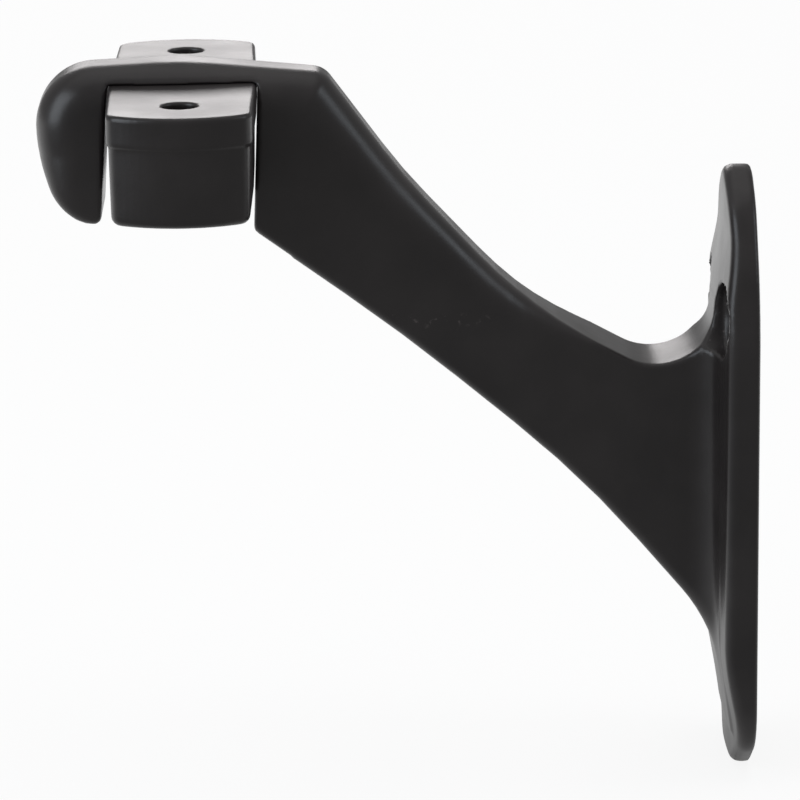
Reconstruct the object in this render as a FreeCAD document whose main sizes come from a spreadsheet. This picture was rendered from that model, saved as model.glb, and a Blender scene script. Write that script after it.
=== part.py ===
import FreeCAD, Part
import math
import os

import Sketcher

# Handrail bracket: a cast wall bracket with a hooked head, and the loose saddle that sits in
# the hook's slot and carries the two rail screws.
#
# Frame: the wall is the plane X = 0 and the bracket reaches towards -X. The rail runs along Y.
# +Z is up. The origin is on the plate's back face, half way up the plate.

# name, value in millimetres, meaning
SIZES = (
    ("PlateHeight", 93.4, "wall plate, top of the arch to the bottom of the foot"),
    ("PlateWidth", 35.0, "wall plate, side to side"),
    ("ArchRise", 18.2, "height of the pointed arch at the top of the plate"),
    ("ArchWaistWidth", 20.0, "between the two bends of the arch"),
    ("ArchWaistDrop", 4.2, "from the top of the arch down to its two bends"),
    ("ArchTopWidth", 6.0, "flat of the arch before it is rounded"),
    ("ArchRound", 14.0, "rounding of the arch's bends"),
    ("FootRise", 6.8, "height of the flat arch at the foot of the plate"),
    ("FootWidth", 12.0, "flat of the foot before it is rounded"),
    ("FootRound", 9.0, "rounding of the foot's bends"),
    ("PlateThick", 5.8, "plate on its centre line, at the screws"),
    ("PlateTopThick", 4.6, "plate on its centre line, at the top"),
    ("PlateFootThick", 3.1, "plate on its centre line, at the foot"),
    ("PlateCrown", 1.1, "fall of the front face from the centre line to the rim"),
    ("PlateRimBevel", 0.7, "bevel of the plate's front rim"),
    ("ScrewHeight", 24.9, "wall screws above the middle of the plate"),
    ("ScrewPitch", 20.6, "between the two wall screws"),
    ("ScrewBore", 5.2, "clearance hole of a wall screw"),
    ("ScrewHead", 11.2, "mouth of the countersink"),
    ("ScrewSink", 1.2, "straight recess over the cone of the countersink"),
    ("RailReach", 85.6, "wall to the line of the rail screws"),
    ("SeatHeight", 61.3, "underside of the bridge above the middle of the plate"),
    ("BridgeThick", 3.0, "bridge between the slot and the crest of the head"),
    ("HeadFall", 1.5, "fall of the head's crest from the nose to the shoulder"),
    ("SlotWidth", 22.4, "slot at the bridge"),
    ("SlotDepth", 21.0, "slot from the bridge to its mouth"),
    ("SlotDraft", 0.6, "widening of each slot wall at the mouth"),
    ("SlotRound", 0.7, "corner between a slot wall and the bridge"),
    ("NoseThick", 10.9, "hook nose, slot wall to the front"),
    ("NoseRound", 10.0, "corner between the crest and the nose"),
    ("NoseBow", 26.0, "gentle bow of the front of the nose"),
    ("TipSet", 3.3, "nose front to the corner of its tip"),
    ("TipRound", 5.2, "outer corner of the tip"),
    ("TipLip", 1.4, "inner corner of the tip and of the arm beside the slot"),
    ("HeadThick", 16.4, "arm along the rail, at the nose"),
    ("NeckThick", 13.8, "arm along the rail, at the plate"),
    ("ShoulderSet", 9.0, "slot wall to the shoulder"),
    ("ShoulderRound", 3.6, "rounding of the shoulder"),
    ("UpperRunX", 12.8, "shoulder to the first bend of the arm's back, along X"),
    ("UpperRunZ", 17.4, "shoulder to the first bend of the arm's back, along Z"),
    ("UpperBow", 90.0, "first bend of the arm's back"),
    ("MiddleRunX", 17.9, "first to second bend of the arm's back, along X"),
    ("MiddleRunZ", 18.5, "first to second bend of the arm's back, along Z"),
    ("MiddleBow", 42.0, "second bend of the arm's back"),
    ("ValleyHeight", 12.0, "arm's back produced to the plate"),
    ("ValleyRound", 7.8, "hollow between the arm's back and the plate"),
    ("BellyUpperX", 22.2, "slot mouth to the first bend of the belly, along X"),
    ("BellyUpperZ", 17.1, "slot mouth to the first bend of the belly, along Z"),
    ("BellyUpperBow", 300.0, "first bend of the belly"),
    ("BellyLowerX", 27.0, "first to second bend of the belly, along X"),
    ("BellyLowerZ", 23.2, "first to second bend of the belly, along Z"),
    ("BellyLowerBow", 160.0, "second bend of the belly"),
    ("RootHeight", 25.0, "belly's meeting with the plate, below the middle of the plate"),
    ("RootRound", 14.0, "bend of the belly into the plate"),
    ("FlareReach", 4.2, "concave flare between the arm's sides and the plate"),
    ("HeadRound", 6.0, "rounding of the crest's edges at the head"),
    ("ArmRound", 4.2, "rounding of the edges of the arm's back, half way down"),
    ("ValleyEdge", 0.7, "rounding of the edges where the arm's back reaches the plate"),
    ("BellyRound", 2.2, "rounding of the arm's lower edges"),
    ("SaddleLength", 66.8, "saddle along the rail, ear to ear"),
    ("SaddleHeight", 16.4, "saddle, top to bottom"),
    ("SaddleSideGap", 0.2, "clearance to each wall of the slot"),
    ("SaddleDraft", 1.0, "draft of the saddle's sides, degrees"),
    ("EarFlat", 54.4, "between the corners of the two ears along the rail"),
    ("EarTaper", 1.1, "narrowing of each side of an ear at its corner"),
    ("EarRimThick", 4.4, "rim round the top of the saddle"),
    ("EarRimStep", 0.35, "how far the rim stands proud of the body"),
    ("EarCornerRound", 1.2, "upright corners of the ears"),
    ("RailScrewPitch", 46.0, "between the two rail screws"),
    ("RailScrewBore", 5.2, "clearance hole of a rail screw"),
    ("WellWall", 2.6, "wall round the hollow under each ear"),
    ("WellWeb", 12.0, "solid middle of the saddle along the rail"),
    ("WellReach", 5.6, "hollow past the line of its screw"),
    ("WellRound", 3.0, "upright corners of the hollow"),
)

# How far a cutting or trimming tool runs past the solid that it works on.
OVERRUN = 5.0
# How far one piece of the casting reaches into the next, so that the two join.
EMBED = 2.0
# How far a joining face lies under the surface that it meets.
SKIN = 0.2
# Length of the runs that meet at a rounded corner, in radii of the round.
ROUND_ROOM = 1.5
# Two places closer than this are the same place.
NEAR = 0.01

SIDE_VIEW = FreeCAD.Rotation(FreeCAD.Vector(1, 0, 0), 90)
TOP_VIEW = FreeCAD.Rotation(FreeCAD.Vector(0, 0, 1), 0)
FRONT_VIEW = FreeCAD.Rotation(FreeCAD.Vector(1, 1, 1), 120)
ORIGIN = FreeCAD.Vector(0, 0, 0)
ALONG_X = FreeCAD.Vector(1, 0, 0)
ALONG_Y = FreeCAD.Vector(0, 1, 0)
ALONG_Z = FreeCAD.Vector(0, 0, 1)


def make_sheet(doc):
    """Write every driving size in the spreadsheet, one row each, with its name as the alias."""
    sheet = doc.addObject("Spreadsheet::Sheet", "Sizes")
    for row, (name, value, meaning) in enumerate(SIZES, start=1):
        sheet.set(f"A{row}", name)
        sheet.set(f"B{row}", str(value))
        sheet.set(f"C{row}", meaning)
        sheet.setAlias(f"B{row}", name)
    doc.recompute()
    return sheet


class Sizes:
    """The sheet's values, read by name."""

    def __init__(self, sheet):
        self.sheet = sheet

    def __getattr__(self, name):
        return float(self.sheet.get(name))


def corner_arc(before, corner, after, radius, shares):
    """Tangent arc of a corner: its start, middle and end, within its shares of the two sides."""
    back = before - corner
    ahead = after - corner
    room = min(back.Length * shares[0], ahead.Length * shares[1])
    back.normalize()
    ahead.normalize()
    half = back.getAngle(ahead) / 2
    reach = min(radius / math.tan(half), room)
    bow = reach * math.tan(half)
    towards = (back + ahead).normalize()
    centre = corner + towards * (bow / math.sin(half))
    return corner + back * reach, centre - towards * bow, corner + ahead * reach


def draw_rounded(sketch, corners):
    """Draw a closed outline of (x, y, radius) corners, with straight runs and tangent arcs.

    A side between two rounded corners is shared by halves.
    """
    points = [FreeCAD.Vector(x, y, 0) for x, y, _ in corners]
    count = len(points)
    starts = []
    ends = []
    arcs = []
    for i, (_, _, radius) in enumerate(corners):
        if radius > 0:
            after = (i + 1) % count
            shares = [0.5 if corners[side][2] > 0 else 1 for side in (i - 1, after)]
            start, middle, end = corner_arc(points[i - 1], points[i], points[after], radius, shares)
            arcs.append(Part.Arc(start, middle, end))
        else:
            start = end = points[i]
        starts.append(start)
        ends.append(end)
    runs = [
        Part.LineSegment(ends[i - 1], starts[i])
        for i in range(count)
        if ends[i - 1].distanceToPoint(starts[i]) > NEAR
    ]
    sketch.addGeometry(runs + arcs, False)


def add_sketch(doc, name, rotation, corners):
    """A sketch of one rounded outline, turned to its plane through the origin."""
    sketch = doc.addObject("Sketcher::SketchObject", name)
    sketch.Placement = FreeCAD.Placement(ORIGIN, rotation)
    draw_rounded(sketch, corners)
    return sketch


def extrude(doc, name, sketch, direction, length):
    """A solid drawn out evenly to both sides of its sketch; length is an expression."""
    solid = doc.addObject("Part::Extrusion", name)
    solid.Base = sketch
    solid.DirMode = "Custom"
    solid.Dir = direction
    solid.Solid = True
    solid.Symmetric = True
    solid.setExpression("LengthFwd", length)
    return solid


def plate_outline(s):
    """Front view of the plate: a pointed arch over straight sides and a flat rounded foot."""
    half = s.PlateWidth / 2
    top = s.PlateHeight / 2
    right = [
        (s.FootWidth / 2, -top, s.FootRound),
        (half, s.FootRise - top, s.FootRound),
        (half, top - s.ArchRise, 2 * s.ArchRound),
        (s.ArchWaistWidth / 2, top - s.ArchWaistDrop, s.ArchRound),
        (s.ArchTopWidth / 2, top, s.ArchRound),
    ]
    left = [(-y, z, radius) for y, z, radius in reversed(right)]
    return right + left


def make_plate(doc, s):
    """The wall plate: its front view cut back by a front face that bows and crowns."""
    face_sketch = add_sketch(doc, "PlateFront", FRONT_VIEW, plate_outline(s))
    face = doc.addObject("Part::Extrusion", "PlateFace")
    face.Base = face_sketch
    face.DirMode = "Custom"
    face.Dir = -ALONG_X
    face.Solid = True
    face.setExpression("LengthFwd", "2 * Sizes.PlateThick")
    top = s.PlateHeight / 2
    front = doc.addObject("Part::Loft", "PlateBow")
    front.Sections = [
        crown_section(doc, s, "FootSection", -top, s.PlateFootThick),
        crown_section(doc, s, "RootSection", -s.RootHeight, s.PlateThick),
        crown_section(doc, s, "ScrewSection", s.ScrewHeight, s.PlateThick),
        crown_section(doc, s, "TopSection", top, s.PlateTopThick),
    ]
    front.Solid = True
    plate = doc.addObject("Part::MultiCommon", "Plate")
    plate.Shapes = [face, front]
    doc.recompute()
    edges = enumerate(plate.Shape.Edges, start=1)
    rim = [(number, edge) for number, edge in edges if edge.BoundBox.XMax < -EMBED]
    return bevel_edges(doc, "PlateBeveled", plate, rim, s.PlateRimBevel)


def crown_section(doc, s, name, height, thick):
    """Level section of the plate at one height: a flat back and a crowned front."""
    sketch = doc.addObject("Sketcher::SketchObject", name)
    sketch.Placement = FreeCAD.Placement(FreeCAD.Vector(0, 0, height), TOP_VIEW)
    half = s.PlateWidth / 2
    radius = (half ** 2 + s.PlateCrown ** 2) / (2 * s.PlateCrown)
    side = half + OVERRUN
    fall = radius - math.sqrt(radius ** 2 - side ** 2)
    corners = [
        FreeCAD.Vector(fall - thick, side, 0),
        FreeCAD.Vector(OVERRUN, side, 0),
        FreeCAD.Vector(OVERRUN, -side, 0),
        FreeCAD.Vector(fall - thick, -side, 0),
    ]
    runs = [Part.LineSegment(corners[i], corners[i + 1]) for i in range(3)]
    crown = Part.Arc(corners[3], FreeCAD.Vector(-thick, 0, 0), corners[0])
    sketch.addGeometry(runs + [crown], False)
    return sketch


def edge_point(edge, share):
    """The point at a share of an edge's parameter range."""
    return edge.valueAt(edge.FirstParameter + share * (edge.LastParameter - edge.FirstParameter))


def edge_tangent(edge, share):
    """The direction of an edge at a share of its parameter range."""
    return edge.tangentAt(edge.FirstParameter + share * (edge.LastParameter - edge.FirstParameter))


def round_edges(doc, name, base, edges):
    """A Part::Fillet of numbered edges, each with the radius at its start and at its end."""
    rounded = doc.addObject("Part::Fillet", name)
    rounded.Base = base
    rounded.Edges = edges
    doc.recompute()
    return rounded


def bevel_edges(doc, name, base, edges, size):
    """A Part::Chamfer of numbered edges, equal on both faces."""
    beveled = doc.addObject("Part::Chamfer", name)
    beveled.Base = base
    beveled.Edges = [(number, size, size) for number, edge in edges]
    doc.recompute()
    return beveled


def take_chain(s, edges):
    """Take a chain of tangent edges off a list, with radii in the direction of the first."""
    number, edge = edges.pop(0)
    ends = [(edge_point(edge, share), edge_tangent(edge, share)) for share in (0, 1)]
    chain = [(number, edge_round(s, ends[0][0]), edge_round(s, ends[1][0]))]
    growing = True
    while growing:
        growing = False
        for item in list(edges):
            for share in (0, 1):
                near = edge_point(item[1], share)
                far = edge_point(item[1], 1 - share)
                straight = edge_tangent(item[1], share)
                for tip in (0, 1):
                    meets = near.distanceToPoint(ends[tip][0]) < NEAR
                    if item in edges and meets and abs(straight.dot(ends[tip][1])) > 1 - NEAR:
                        radii = (edge_round(s, near), edge_round(s, far))
                        chain.append((item[0], *(radii if tip else reversed(radii))))
                        ends[tip] = (far, edge_tangent(item[1], 1 - share))
                        edges.remove(item)
                        growing = True
    return chain


class ArmPoints:
    """Corners of the arm's side view, each from the sizes that place it."""

    def __init__(self, s):
        half = s.SlotWidth / 2
        self.wall = -s.RailReach + half
        self.front = -s.RailReach - half - s.NoseThick
        self.crest = s.SeatHeight + s.BridgeThick
        self.mouth = s.SeatHeight - s.SlotDepth
        self.throat = self.wall + s.SlotDraft
        self.lip = -s.RailReach - half - s.SlotDraft
        self.shoulder = (self.wall + s.ShoulderSet, self.crest - s.HeadFall)
        self.upper = (self.shoulder[0] + s.UpperRunX, self.shoulder[1] - s.UpperRunZ)
        self.middle = (self.upper[0] + s.MiddleRunX, self.upper[1] - s.MiddleRunZ)
        self.belly = (self.throat + s.BellyUpperX, self.mouth - s.BellyUpperZ)
        self.lower = (self.belly[0] + s.BellyLowerX, self.belly[1] - s.BellyLowerZ)
        self.root = SKIN - s.PlateThick


def arm_side(s):
    """Side view of the arm, from the nose over the crest, down the back and up the belly."""
    p = ArmPoints(s)
    root_top = s.ValleyHeight + ROUND_ROOM * s.ValleyRound
    return [
        (p.front, p.crest, s.NoseRound),
        (-s.RailReach, p.crest, 6 * s.NoseRound),
        (*p.shoulder, s.ShoulderRound),
        (*p.upper, s.UpperBow),
        (*p.middle, s.MiddleBow),
        (p.root, s.ValleyHeight, s.ValleyRound),
        (p.root, root_top, 0),
        (-EMBED, root_top, 0),
        (-EMBED, -s.RootHeight - s.RootRound, 0),
        (p.root, -s.RootHeight, s.RootRound),
        (*p.lower, s.BellyLowerBow),
        (*p.belly, s.BellyUpperBow),
        (p.throat, p.mouth, 0),
        (p.front + s.TipSet, p.mouth, s.TipRound),
        (p.front, s.SeatHeight - s.SlotDepth / 2, s.NoseBow),
    ]


def arm_plan(s):
    """Top view of the arm: it narrows evenly from the nose to the plate."""
    front = ArmPoints(s).front
    return [
        (front, s.HeadThick / 2, 0),
        (-EMBED, s.NeckThick / 2, 0),
        (-EMBED, -s.NeckThick / 2, 0),
        (front, -s.HeadThick / 2, 0),
    ]


def flare_plan(s):
    """Top view of the root: a concave flare on each side, from the arm out to the plate."""
    front = ArmPoints(s).front
    face = s.PlateCrown / 2 - s.PlateThick
    start = face - s.FlareReach - EMBED
    slope = (s.HeadThick - s.NeckThick) / 2 / (-EMBED - front)
    side = s.NeckThick / 2 + slope * (-EMBED - face)
    near = s.NeckThick / 2 + slope * (-EMBED - start)
    wide = side + s.FlareReach + SKIN
    right = [(start, near, 0), (face, side, s.FlareReach), (face, wide, 0), (-EMBED, wide, 0)]
    return right + [(x, -y, radius) for x, y, radius in reversed(right)]


def on_belly(s, point):
    """Whether a point is on the arm's lower edges, between the slot's mouth and the plate."""
    p = ArmPoints(s)
    middle_slot = s.SeatHeight - s.SlotDepth / 2
    middle_root = (s.ValleyHeight - s.RootHeight) / 2
    along = (point.x - p.wall) / (p.root - p.wall)
    share = min(max(along, 0), 1)
    return point.x > p.lip and point.z < middle_slot + share * (middle_root - middle_slot)


def long_edges(s, shape):
    """The numbered edges that run along the arm, outside the plate."""
    found = []
    for number, edge in enumerate(shape.Edges, start=1):
        start = edge_point(edge, 0)
        end = edge_point(edge, 1)
        along = start.y * end.y > 0
        outside = min(abs(start.x), abs(end.x)) > -ArmPoints(s).root - NEAR
        upright = abs(start.x - end.x) < NEAR and start.x > -s.PlateThick
        if along and outside and not upright:
            found.append((number, edge))
    return found


def edge_round(s, point):
    """Rounding of the arm's long edges at a point: soft at the head, close at the plate."""
    p = ArmPoints(s)
    if point.x < p.lip:
        share = (point.z - p.mouth) / (s.SlotDepth / 2)
        return s.BellyRound + min(max(share, 0), 1) * (s.HeadRound - s.BellyRound)
    if on_belly(s, point):
        return s.BellyRound
    valley = p.root - 2 * s.ValleyRound
    if point.x < p.middle[0]:
        share = (point.x - p.shoulder[0]) / (p.middle[0] - p.shoulder[0])
        return s.HeadRound + max(share, 0) * (s.ArmRound - s.HeadRound)
    share = (point.x - p.middle[0]) / (valley - p.middle[0])
    return s.ArmRound + min(share, 1) * (s.ValleyEdge - s.ArmRound)


def make_arm(doc, s):
    """The arm: side view and top view in common, with its long edges rounded."""
    side_sketch = add_sketch(doc, "ArmSide", SIDE_VIEW, arm_side(s))
    side = extrude(doc, "ArmSideSolid", side_sketch, ALONG_Y, "2 * Sizes.HeadThick + 4 * Sizes.FlareReach")
    plan_sketch = add_sketch(doc, "ArmPlan", TOP_VIEW, arm_plan(s))
    plan = extrude(doc, "ArmPlanSolid", plan_sketch, ALONG_Z, "4 * Sizes.PlateHeight")
    arm = doc.addObject("Part::MultiCommon", "ArmBlank")
    arm.Shapes = [side, plan]
    doc.recompute()
    unused = long_edges(s, arm.Shape)
    edges = []
    while unused:
        edges += take_chain(s, unused)
    rounded = round_edges(doc, "ArmRounded", arm, edges)
    flare_sketch = add_sketch(doc, "FlarePlan", TOP_VIEW, flare_plan(s))
    flare_solid = extrude(doc, "FlareSolid", flare_sketch, ALONG_Z, "4 * Sizes.PlateHeight")
    flare = doc.addObject("Part::MultiCommon", "RootFlare")
    flare.Shapes = [side, flare_solid]
    return rounded, flare


def slot_outline(s):
    """Side view of the slot's cutter: the slot, and below its mouth the two rounded lips."""
    p = ArmPoints(s)
    half = s.SlotWidth / 2
    slope = s.BellyUpperZ / s.BellyUpperX
    below = 2 * OVERRUN
    return [
        (-s.RailReach - half, s.SeatHeight, s.SlotRound),
        (p.wall, s.SeatHeight, s.SlotRound),
        (p.throat, p.mouth, s.TipLip),
        (p.throat + OVERRUN, p.mouth - OVERRUN * slope, 0),
        (p.throat + OVERRUN, p.mouth - below, 0),
        (p.lip - OVERRUN, p.mouth - below, 0),
        (p.lip - OVERRUN, p.mouth, 0),
        (p.lip, p.mouth, s.TipLip),
    ]


def make_screw_cutter(doc, name, side):
    """Cutter of one wall screw: bore, cone and straight recess, with the way in for the screw."""
    place = {"y": f"{side} * Sizes.ScrewPitch / 2", "z": "Sizes.ScrewHeight"}
    face = "Sizes.PlateThick - Sizes.PlateCrown * (Sizes.ScrewPitch / Sizes.PlateWidth) ^ 2"
    cone = "(Sizes.ScrewHead - Sizes.ScrewBore) / 2"
    bore = doc.addObject("Part::Cylinder", name + "Bore")
    bore.setExpression("Radius", "Sizes.ScrewBore / 2")
    bore.setExpression("Height", "4 * Sizes.PlateThick")
    bore_x = "2 * Sizes.PlateThick"
    sink = doc.addObject("Part::Cone", name + "Sink")
    sink.setExpression("Radius1", "Sizes.ScrewBore / 2")
    sink.setExpression("Radius2", "Sizes.ScrewHead / 2")
    sink.setExpression("Height", cone)
    sink_x = f"-({face}) + Sizes.ScrewSink + {cone}"
    recess = doc.addObject("Part::Cylinder", name + "Recess")
    recess.setExpression("Radius", "Sizes.ScrewHead / 2")
    recess.setExpression("Height", "Sizes.ScrewSink + 2 * Sizes.FlareReach + Sizes.ValleyRound")
    recess_x = f"-({face}) + Sizes.ScrewSink"
    for tool, x in ((bore, bore_x), (sink, sink_x), (recess, recess_x)):
        tool.Placement = FreeCAD.Placement(ORIGIN, FreeCAD.Rotation(ALONG_Y, -90))
        tool.setExpression("Placement.Base.x", x)
        tool.setExpression("Placement.Base.y", place["y"])
        tool.setExpression("Placement.Base.z", place["z"])
    cutter = doc.addObject("Part::MultiFuse", name)
    cutter.Shapes = [bore, sink, recess]
    return cutter


def make_bracket(doc, s):
    """The whole casting: plate, arm and flared root joined, then slot and screw holes cut."""
    plate = make_plate(doc, s)
    arm, flare = make_arm(doc, s)
    joined = doc.addObject("Part::MultiFuse", "Casting")
    joined.Shapes = [plate, arm, flare]
    joined.Refine = True
    slot_sketch = add_sketch(doc, "SlotOutline", SIDE_VIEW, slot_outline(s))
    slot = extrude(doc, "SlotCutter", slot_sketch, ALONG_Y, "2 * Sizes.HeadThick")
    near = make_screw_cutter(doc, "NearScrew", -1)
    far = make_screw_cutter(doc, "FarScrew", 1)
    tools = doc.addObject("Part::MultiFuse", "Cutters")
    tools.Shapes = [slot, near, far]
    bracket = doc.addObject("Part::Cut", "Bracket")
    bracket.Base = joined
    bracket.Tool = tools
    bracket.Label = "bracket_arm"
    doc.recompute()
    return bracket


def origin_plane(body, role):
    """One of a body's own origin planes."""
    return next(item for item in body.Origin.OriginFeatures if item.Role == role)


def body_sketch(body, name, depth):
    """A sketch level with the body's top plane, lowered by an expression."""
    sketch = body.newObject("Sketcher::SketchObject", name)
    sketch.AttachmentSupport = [(origin_plane(body, "XY_Plane"), "")]
    sketch.MapMode = "FlatFace"
    sketch.setExpression("AttachmentOffset.Base.z", depth)
    return sketch


def pin(sketch, geometry, end, x, y):
    """Tie one end of a sketch's line or arc to a place that two expressions give."""
    for kind, expression in (("DistanceX", x), ("DistanceY", y)):
        value = sketch.evalExpression(expression)
        number = sketch.addConstraint(Sketcher.Constraint(kind, -1, 1, geometry, end, float(value)))
        sketch.setExpression(f"Constraints[{number}]", expression)


def ear_outline(sketch, inset):
    """Draw and tie the saddle's plan: parallel middle, tapered ears and bowed ends."""
    half = f"(Sizes.SlotWidth / 2 - Sizes.SaddleSideGap - {inset})"
    corner_x = f"({half} - Sizes.EarTaper)"
    corner_y = f"(Sizes.EarFlat / 2 - {inset})"
    crest_y = f"(Sizes.SaddleLength / 2 - {inset})"
    root_y = "(Sizes.HeadThick / 2)"
    places = [
        (half, f"-{root_y}"), (half, root_y), (corner_x, corner_y),
        (f"-{corner_x}", corner_y), (f"-{half}", root_y), (f"-{half}", f"-{root_y}"),
        (f"-{corner_x}", f"-{corner_y}"), (corner_x, f"-{corner_y}"),
    ]
    points = [
        FreeCAD.Vector(float(sketch.evalExpression(x)), float(sketch.evalExpression(y)), 0)
        for x, y in places
    ]
    crest = float(sketch.evalExpression(crest_y))
    count = len(points)
    for i in range(count):
        start = points[i]
        end = points[(i + 1) % count]
        if abs(start.y - end.y) < NEAR:
            bow = FreeCAD.Vector(0, math.copysign(crest, start.y), 0)
            number = sketch.addGeometry(Part.Arc(start, bow, end), False)
        else:
            number = sketch.addGeometry(Part.LineSegment(start, end), False)
            pin(sketch, number, 1, *places[i])
            pin(sketch, number, 2, *places[(i + 1) % count])


def make_saddle(doc, s):
    """The saddle: a rimmed top with two D-shaped ears, a drafted body, wells and screw holes."""
    body = doc.addObject("PartDesign::Body", "Saddle")
    body.Label = "rail_saddle"
    rim_sketch = body_sketch(body, "RimOutline", "0")
    ear_outline(rim_sketch, "0")
    rim = body.newObject("PartDesign::Pad", "Rim")
    rim.Profile = rim_sketch
    rim.Reversed = True
    rim.setExpression("Length", "Sizes.EarRimThick")
    block_sketch = body_sketch(body, "BlockOutline", "-Sizes.EarRimThick")
    ear_outline(block_sketch, "Sizes.EarRimStep")
    block = body.newObject("PartDesign::Pad", "Block")
    block.Profile = block_sketch
    block.Reversed = True
    block.setExpression("Length", "Sizes.SaddleHeight - Sizes.EarRimThick")
    block.setExpression("TaperAngle", "-Sizes.SaddleDraft")
    doc.recompute()
    corners = []
    for number, edge in enumerate(body.Shape.Edges, start=1):
        start = edge_point(edge, 0)
        end = edge_point(edge, 1)
        upright = abs(start.z - end.z) > s.EarRimThick / 2
        if upright and abs(start.y) > s.HeadThick:
            corners.append(f"Edge{number}")
    soft = body.newObject("PartDesign::Fillet", "EarCorners")
    soft.Base = (block, corners)
    soft.setExpression("Radius", "Sizes.EarCornerRound")
    doc.recompute()
    top_edges = []
    for number, edge in enumerate(body.Shape.Edges, start=1):
        if edge.BoundBox.ZMin > -NEAR:
            top_edges.append(f"Edge{number}")
    crest = body.newObject("PartDesign::Chamfer", "TopEdge")
    crest.Base = (soft, top_edges)
    crest.setExpression("Size", "Sizes.SlotRound - Sizes.SaddleSideGap")
    doc.recompute()
    holes_sketch = body_sketch(body, "ScrewHoles", "0")
    for side in (-1, 1):
        y = f"{side} * Sizes.RailScrewPitch / 2"
        centre = FreeCAD.Vector(0, float(holes_sketch.evalExpression(y)), 0)
        circle = Part.Circle(centre, ALONG_Z, s.RailScrewBore / 2)
        number = holes_sketch.addGeometry(circle, False)
        pin(holes_sketch, number, 3, "0", y)
        radius = holes_sketch.addConstraint(Sketcher.Constraint("Radius", number, s.RailScrewBore / 2))
        holes_sketch.setExpression(f"Constraints[{radius}]", "Sizes.RailScrewBore / 2")
    holes = body.newObject("PartDesign::Pocket", "RailScrewHoles")
    holes.Profile = holes_sketch
    holes.setExpression("Length", "Sizes.SaddleHeight + Sizes.EarRimThick")
    wells_sketch = body_sketch(body, "WellOutlines", "-Sizes.SaddleHeight")
    well_outlines(wells_sketch, s)
    wells = body.newObject("PartDesign::Pocket", "Wells")
    wells.Profile = wells_sketch
    wells.Reversed = True
    wells.setExpression("Length", "Sizes.SaddleHeight - Sizes.EarRimThick")
    body.Tip = wells
    body.setExpression("Placement.Base.x", "-Sizes.RailReach")
    body.setExpression("Placement.Base.z", "Sizes.SeatHeight")
    doc.recompute()
    return body


def well_outlines(sketch, s):
    """Two rounded hollows, one under each ear, either side of the saddle's solid middle."""
    lean = (s.SaddleHeight - s.EarRimThick) * math.tan(math.radians(s.SaddleDraft))
    inset = s.EarRimStep + lean + s.WellWall
    half = s.SlotWidth / 2 - s.SaddleSideGap - s.EarTaper - inset
    near = s.WellWeb / 2
    far = s.RailScrewPitch / 2 + s.WellReach
    for side in (-1, 1):
        corners = [(half, side * near), (half, side * far), (-half, side * far), (-half, side * near)]
        draw_rounded(sketch, [(x, y, s.WellRound) for x, y in corners])


def check(doc, parts):
    """Stop if any object failed, or if a piece isn't one sound solid."""
    for item in doc.Objects:
        if "Invalid" in item.State or "Error" in item.State:
            raise RuntimeError(f"{item.Name} failed: {item.State}")
    for part in parts:
        shape = part.Shape
        if shape.isNull() or not shape.isValid() or len(shape.Solids) != 1:
            raise RuntimeError(f"{part.Label} isn't one sound solid")


def main():
    doc = FreeCAD.newDocument("HandrailBracket")
    s = Sizes(make_sheet(doc))
    parts = [make_bracket(doc, s), make_saddle(doc, s)]
    doc.recompute()
    check(doc, parts)
    os.makedirs("parts", exist_ok=True)
    for part in parts:
        part.Shape.exportStep(f"parts/{part.Label}.step")
        box = part.Shape.BoundBox
        print(part.Label, f"{part.Shape.Volume:.1f}", [round(v, 2) for v in (
            box.XMin, box.XMax, box.YMin, box.YMax, box.ZMin, box.ZMax)])


main()
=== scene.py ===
import math

import bpy
import numpy as np
from bpy.props import FloatProperty, FloatVectorProperty, PointerProperty
from mathutils import Matrix, Vector


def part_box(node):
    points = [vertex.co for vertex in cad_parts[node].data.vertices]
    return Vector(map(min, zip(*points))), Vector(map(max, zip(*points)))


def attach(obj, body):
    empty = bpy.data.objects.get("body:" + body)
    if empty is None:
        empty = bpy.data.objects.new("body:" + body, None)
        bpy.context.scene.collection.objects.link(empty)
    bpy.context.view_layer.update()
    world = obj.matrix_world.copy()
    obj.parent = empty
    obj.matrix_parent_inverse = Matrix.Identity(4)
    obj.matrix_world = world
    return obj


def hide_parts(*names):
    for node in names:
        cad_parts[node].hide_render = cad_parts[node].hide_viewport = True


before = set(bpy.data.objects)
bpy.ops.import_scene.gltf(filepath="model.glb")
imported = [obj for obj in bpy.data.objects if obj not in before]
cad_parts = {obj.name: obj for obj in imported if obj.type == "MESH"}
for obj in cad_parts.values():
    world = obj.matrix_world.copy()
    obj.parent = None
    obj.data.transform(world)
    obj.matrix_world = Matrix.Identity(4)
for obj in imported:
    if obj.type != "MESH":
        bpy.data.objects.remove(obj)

bl_info = {
    "name": "Handrail bracket",
    "version": (1, 0, 0),
    "blender": (4, 5, 0),
    "location": "3D View > Sidebar > Bracket",
    "description": "Builds a cast handrail bracket with its loose saddle, and a pale stage for it",
    "category": "Object",
}

# The frame's axes: the wall is the plane X = 0, the arm reaches towards -X, the rail runs
# along Y and +Z is up. Every solid is a field in millimetres, negative inside.
MM = 1000.0
CASTING_NODE = "bracket_arm"
SADDLE_NODE = "rail_saddle"
BODY = "root"

# Largest turn from one point of an arc to the next, and a length that counts as none.
ARC_STEP = math.radians(4)
TINY = 1e-9

CELLS_BEFORE = 2.5
CELLS_PAST = 3
SLOPE_REACH = 0.6

# Height of the arm's root on the plate above the valley, in roundings of the valley.
ROOT_RISE = 1.65

# The painted glints in the screw holes fall from full to none between these distances from a hole, in
# millimetres.
GLINT_NEAR = 0.1
GLINT_FAR = 0.6
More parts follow.
